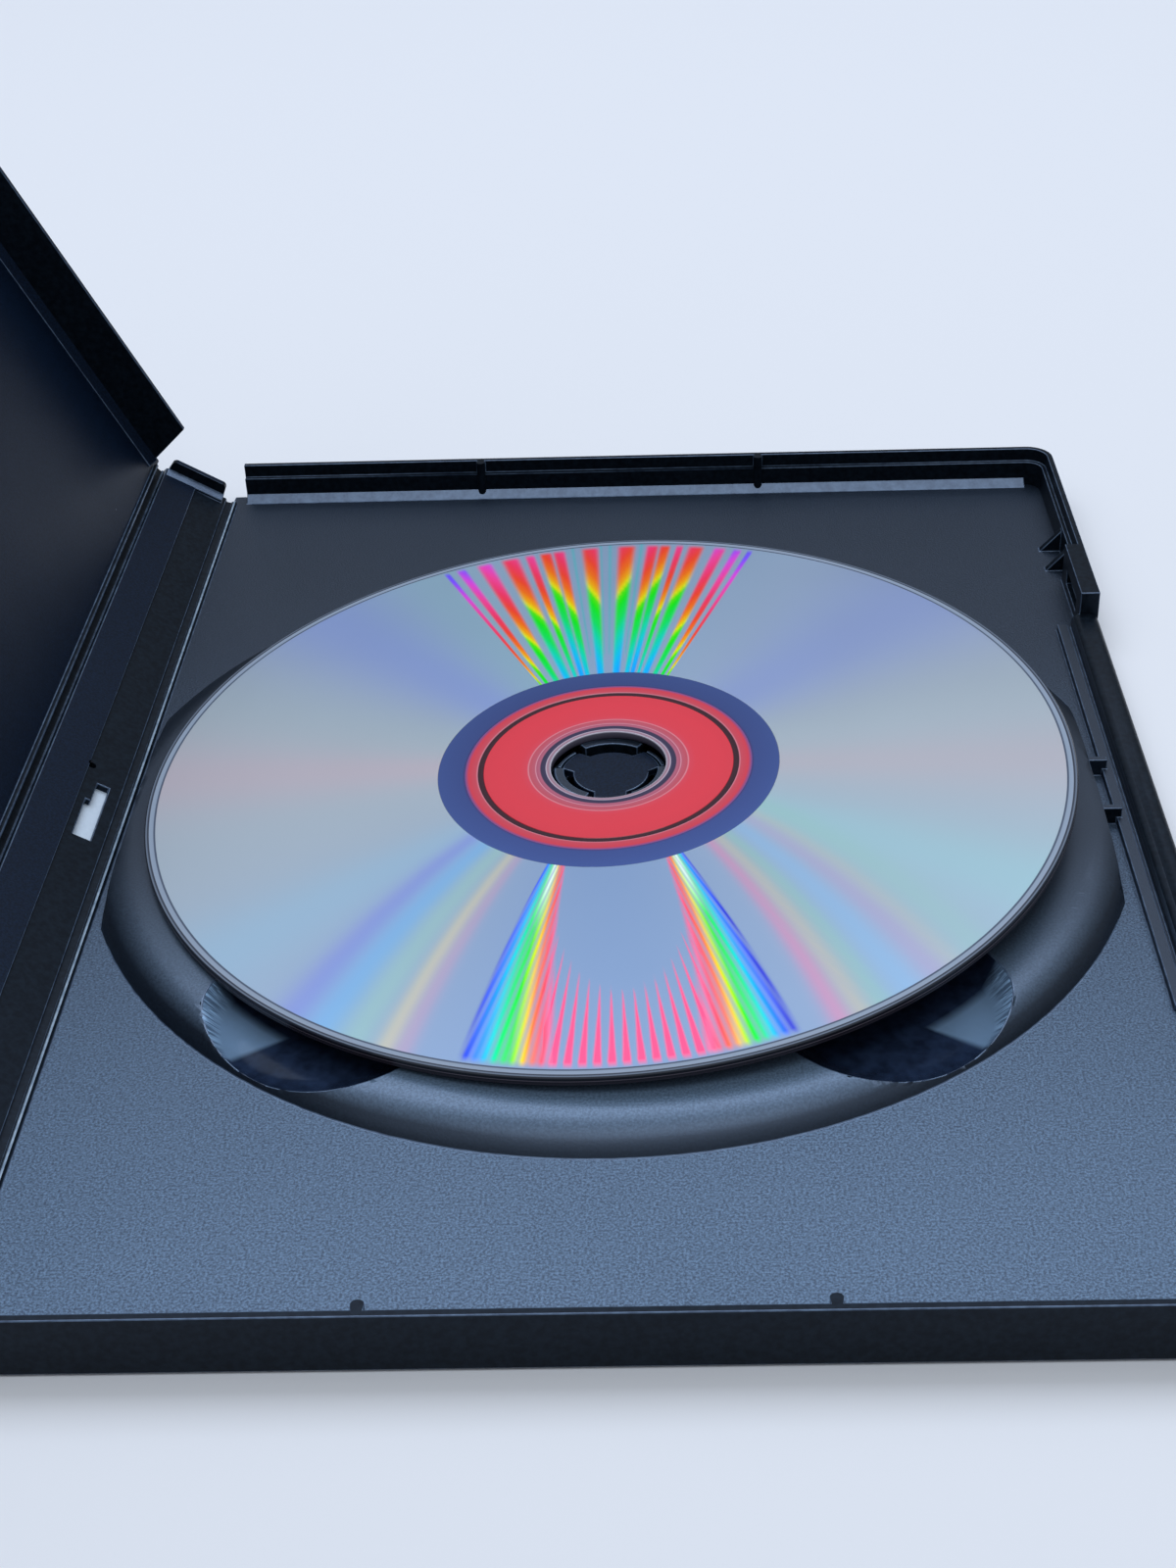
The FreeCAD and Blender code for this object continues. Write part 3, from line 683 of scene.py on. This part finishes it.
def paintedRainbowBottom(r, clock):
    # painted rainbow reflection: two bands that lean together outwards, colour across each band, and a row of
    # spikes between them
    cfg = {
        "centre": 3.2, "outer": (22.0, 18.6), "inner": (16.5, 8.3), "bow": 0.8, "from": 22.25, "to": 58.6,
        "pitch": 1.62, "spikeAt": 1.2, "spikeTip": 45.3, "spikeBow": 0.075, "spikeHalf": 0.5,
        "spikeSoft": 0.22, "spikeGrow": (0, 0.1), "spikePast": 1.0,
        "spike": "#ff5a88",
        "white": "#f4fff4", "whiteAt": 0.5, "whiteHalf": 0.13, "whiteFade": (36, 24),
        "stops": [(0, "#ff6a92"), (0.12, "#ff5060"), (0.25, "#ff7a40"), (0.35, "#ffd020"), (0.43, "#b8f000"),
                  (0.52, "#20e820"), (0.65, "#00e870"), (0.75, "#00d8d0"), (0.85, "#1098ff"),
                  (0.93, "#3a66f0"), (1.0, "#1a1ec8")],
        "thin": 1.08,          # pitch of the thin streaks in degrees
        "stray": 0.05, "scatter": 12.9898,  # how far each one's colour strays, and what scatters them
        "bandIn": (-0.12, 0.04), "bandOut": (1.06, 0.97),
        "shares": (0.34, 0.20, 0.46),       # even, striped and thin parts of a band
        "rimFade": (58.6, 57.9),
    }
    off = clock - cfg["centre"]
    f = np.clip((r - cfg["from"]) / (cfg["to"] - cfg["from"]), 0, 1)
    outer = cfg["outer"][0] + (cfg["outer"][1] - cfg["outer"][0]) * f
    inner = cfg["inner"][0] + (cfg["inner"][1] - cfg["inner"][0]) * f ** cfg["bow"]
    t = (np.abs(off) - inner) / (outer - inner)
    stray = cfg["stray"] * np.sin(np.floor(clock / cfg["thin"]) * cfg["scatter"])
    pale = np.exp(-((t - cfg["whiteAt"]) / cfg["whiteHalf"]) ** 2) * smoothStep(*cfg["whiteFade"], r)
    hue = laid(ramp(t + stray, cfg["stops"]), linear(cfg["white"]), pale)
    stripe = 0.5 + 0.5 * np.cos(2 * np.pi * (clock - cfg["spikeAt"]) / cfg["pitch"])
    fine = 0.5 + 0.5 * np.cos(2 * np.pi * clock / cfg["thin"])
    even, striped, thin = cfg["shares"]
    inBand = smoothStep(*cfg["bandIn"], t) * smoothStep(*cfg["bandOut"], t)
    band = inBand * (even + striped * stripe + thin * fine)
    tip = cfg["spikeTip"] - cfg["spikeBow"] * off ** 2
    grow = np.clip((r - tip) / (cfg["to"] - tip), 0, 1)
    aside = np.abs((clock - cfg["spikeAt"] + cfg["pitch"] / 2) % cfg["pitch"] - cfg["pitch"] / 2)
    spike = np.clip((cfg["spikeHalf"] * grow - aside) / cfg["spikeSoft"] + 0.5, 0, 1)
    spike = spike * smoothStep(*cfg["spikeGrow"], grow) * (np.abs(off) < inner + cfg["spikePast"])
    hue = laid(hue, linear(cfg["spike"]), (t < 0) * 1.0)
    return hue, np.maximum(band, spike) * smoothStep(*cfg["rimFade"], r)


def silverWithPaintedPastels(r, low):
    # plain silver with broad pastel sectors of painted reflected light, each a soft bump round its own angle
    cfg = {
        "silver": "#afb9bd", "lean": 0.0075, "leanAt": 40.0,
        "wide": [(0, 55, "#7692b8", 0.8), (180, 46, "#84a4c6", 0.7), (-92, 9, "#c4b0b6", 0.6),
                 (-118, 14, "#a0b0b6", 0.4), (-135, 14, "#8096d6", 0.6), (-152, 9, "#90b6be", 0.5),
                 (86, 8, "#c2b0b4", 0.42), (110, 10, "#a6b2b4", 0.4), (130, 16, "#8698d0", 0.6),
                 (-52, 8, "#8ebcd2", 0.35), (60, 9, "#98c6c8", 0.5)],
        "narrow": [(-42, 3.0, "#7f8ad0", 0.6), (-37, 3.0, "#72b0da", 0.6), (-32, 2.6, "#9cc4b2", 0.5),
                   (-27.6, 1.5, "#cfc49c", 0.6), (-25.2, 1.4, "#c29ab0", 0.45), (30.6, 1.6, "#cf8aa8", 0.65),
                   (33.6, 1.6, "#c6bb96", 0.5), (36.6, 1.6, "#90c2a6", 0.45), (41.0, 2.8, "#88b4d4", 0.55),
                   (45.5, 2.2, "#b49abc", 0.4), (48.6, 1.6, "#bdb9a4", 0.35), (53.0, 3.4, "#96c0b2", 0.4)],
    }
    colour = np.broadcast_to(linear(cfg["silver"]), r.shape + (3,))
    for at, half, tone, strength in cfg["wide"]:
        away = (low - at + 180) % 360 - 180
        colour = laid(colour, linear(tone), strength * np.exp(-(away / half) ** 2))
    leaning = low * (1 + cfg["lean"] * (r - cfg["leanAt"]))
    for at, half, tone, strength in cfg["narrow"]:
        colour = laid(colour, linear(tone), strength * np.exp(-((leaning - at) / half) ** 2))
    return colour


def discTone(r, angle, rowRing):
    # colour by radius for the plain rings, and the painted rainbow reflection laid over the silver of the
    # data area
    clock = (90 - angle + 180) % 360 - 180      # degrees clockwise from the far side
    low = (angle + 90 + 180) % 360 - 180        # degrees from the near side, to the right
    colour = silverWithPaintedPastels(r, low)
    hue, cover, thread, threadCover = paintedRainbowTop(r, clock)
    onTop = np.abs(clock) < disc["fanHalf"]
    colour = laid(colour, thread, threadCover * onTop)
    colour = laid(colour, hue, cover * onTop)
    hue, cover = paintedRainbowBottom(r, low)
    colour = laid(colour, hue, cover * (np.abs(low) < disc["fanHalf"]))
    plain = rowRing[..., 0] >= 0
    return np.where(plain[..., None], rowRing, colour)


# radius in mm, height over the underside as a share of the thickness, colour, finish
# finish 0 is the data area, 1 the mirror band, 2 clear or inked plastic
discRings = [
    (7.50, 0.15, "#3c3848", 2), (7.50, 0.85, "#7d7888", 2), (7.56, 0.96, "#cfccd8", 2),
    (7.68, 1.0, "#a08c9a", 2), (7.95, 1.0, "#a07484", 2), (8.12, 1.0, "#c4b4c2", 2),
    (8.22, 1.0, "#3a3352", 2), (8.80, 1.0, "#352d4a", 2), (8.95, 1.0, "#b8657c", 2),
    (9.35, 1.0, "#b3556c", 2), (9.45, 1.0, "#dc93a3", 2), (9.60, 1.0, "#c25a6c", 2),
    (10.3, 1.0, "#c8505f", 2), (10.4, 1.0, "#e08c98", 2), (10.6, 1.0, "#e04456", 2),
    (11.4, 1.0, "#e43d4c", 2), (14.0, 1.0, "#e63b4a", 2), (16.22, 1.0, "#e23a49", 2),
    (16.32, 0.94, "#3a1222", 2), (16.98, 0.94, "#340e1e", 2), (17.06, 1.0, "#e08a98", 2),
    # the mirror band, 18.7 to 22.15 mm: its blue and violet are a painted reflection of blue surroundings in
    # the bare metal
    (17.25, 1.0, "#cf4a5a", 2), (18.2, 1.0, "#d83a4c", 2), (18.7, 1.0, "#655090", 1),
    (19.0, 1.0, "#566cb4", 1), (22.15, 1.0, "#5a74be", 1), (22.25, 1.0, "#8c9cc4", 0),
    # from 58.62 mm: the dark lines mark the metal layer's edge and the chamfer's; the pale band of the clear
    # rim is a painted reflection, the grey band at 59.66 to 59.78 mm a painted highlight, and the side at
    # 60.0 mm painted shade with a pale bond line in its middle
    (58.55, 1.0, "#a9b6c4", 0), (58.62, 1.0, "#4c586b", 2), (58.80, 1.0, "#4f5b6e", 2),
    (58.87, 1.0, "#8e9db0", 2), (59.38, 1.0, "#93a2b5", 2), (59.44, 1.0, "#2f3644", 2),
    (59.60, 1.0, "#363e4c", 2), (59.66, 1.0, "#5d6a7c", 2), (59.78, 1.0, "#6d7b8d", 2),
    (59.85, 1.0, "#343b47", 2), (60.0, 0.875, "#20222a", 2), (60.0, 0.62, "#1d1b21", 2),
    (60.0, 0.54, "#7d727b", 2), (60.0, 0.46, "#231f25", 2), (60.0, 0.125, "#3a353d", 2),
    (59.85, 0.0, "#6c6f78", 2), (58.6, 0.0, "#8f2f3b", 2), (24.0, 0.0, "#a03442", 2),
    (18.7, 0.0, "#cf3d4f", 2), (9.0, 0.0, "#c8404f", 2), (7.65, 0.0, "#9a9cae", 2),
]


def discMaterials(cfg):
    made = []
    for name, metallic, roughness, gloss, coat in (
            # aluminium under polycarbonate, blurred by its tracks
            ("metallisedDataLayer", 1.0, 0.45, 0.5, 0.10),
            # the same metal with no tracks
            ("metallisedMirrorBand", 1.0, 0.14, 0.5, 0.10),
            # ink or edge seen through glossy polycarbonate
            ("clearPolycarbonate", 0.0, 0.25, 0.15, 0.20)):
        material, tree, shader = newMaterial(name, {
            "Metallic": metallic, "IOR": cfg["index"], "Specular IOR Level": gloss, "Coat Weight": coat,
            "Coat Roughness": cfg["coatRoughness"], "Coat IOR": cfg["index"]})
        tone = addNode(tree, "VertexColor", layer_name="tone")
        haze = noise(tree, addNode(tree, "TexCoord").outputs["Object"], cfg["hazeSize"], 3.0)
        rough = remap(tree, haze, (0.0, 1.0), (roughness - cfg["uneven"], roughness + cfg["uneven"]))
        tree.links.new(tone.outputs["Color"], shader.inputs["Base Color"])
        tree.links.new(rough, shader.inputs["Roughness"])
        made.append(material)
    return made


def discAngles(cfg):  # fine columns inside the two fans, coarse ones elsewhere, in degrees
    columns = []
    for middle in (90.0, 270.0):
        columns.append(np.arange(middle - cfg["fanHalf"], middle + cfg["fanHalf"], cfg["fineAngle"]))
        columns.append(np.arange(middle + cfg["fanHalf"], middle + 180 - cfg["fanHalf"], cfg["coarseAngle"]))
    return np.concatenate(columns)


def discRows(cfg):  # the rings out from the hole and back underneath, the data area divided further
    rows = []
    uncoloured = np.full(3, -1.0)          # the data area gets its colour by angle
    for k, (r, height, colour, finish) in enumerate(discRings):
        rows.append((r, height, linear(colour) if finish else uncoloured, finish))
        if r == cfg["dataFrom"]:
            for between in np.linspace(cfg["dataFrom"], discRings[k + 1][0], cfg["dataSteps"])[1:-1]:
                rows.append((between, 1.0, uncoloured, 0))
    return rows


def makeDisc(cfg):
    rows = discRows(cfg)
    angle = discAngles(cfg)
    r = np.array([row[0] for row in rows])[:, None]
    height = np.array([row[1] for row in rows])[:, None]
    rowRing = np.array([row[2] for row in rows])[:, None, :]
    grid = np.radians(angle)[None, :]
    lift = (height - 0.5) * cfg["thickness"]
    points = np.stack(np.broadcast_arrays(r * np.cos(grid), r * np.sin(grid), lift), axis=-1)
    tilt = np.array((Matrix.Rotation(math.radians(cfg["tiltY"]), 3, "Y") @
                     Matrix.Rotation(math.radians(cfg["tiltX"]), 3, "X")))
    low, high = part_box("disc")
    centre = (np.array(low) + np.array(high)) / 2 / mm
    points = points @ tilt.T + centre
    tone = discTone(np.broadcast_to(r, points.shape[:2]), np.broadcast_to(angle, points.shape[:2]),
                    np.broadcast_to(rowRing, points.shape))
    rowCount, columnCount = points.shape[:2]
    index = np.arange(rowCount * columnCount).reshape(rowCount, columnCount)
    below = np.roll(index, -1, axis=0)
    corners = [index, below, np.roll(below, -1, axis=1), np.roll(index, -1, axis=1)]
    quads = np.stack(corners, axis=-1).reshape(-1, 4)
    mesh = bpy.data.meshes.new("disc")
    mesh.from_pydata((points.reshape(-1, 3) * mm).tolist(), [], quads.tolist())
    # tone holds the printed ring colours and the painted rainbow reflection of the data area
    layer = mesh.color_attributes.new("tone", "FLOAT_COLOR", "POINT")
    rgba = np.concatenate([tone.reshape(-1, 3), np.ones((rowCount * columnCount, 1))], axis=1)
    layer.data.foreach_set("color", rgba.astype(np.float32).ravel())
    finishes = np.repeat([row[3] for row in rows], columnCount).astype(np.int32)
    piece = newPiece("singleDisc", mesh, "tray", discMaterials(cfg))
    mesh.polygons.foreach_set("material_index", finishes)
    mesh.polygons.foreach_set("use_smooth", np.ones(len(quads), bool))
    faceOutward(mesh)
    mesh.set_sharp_from_angle(angle=math.radians(cfg["crease"]))
    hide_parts("disc")


makeDisc(disc)
print("disc laid on the hub")
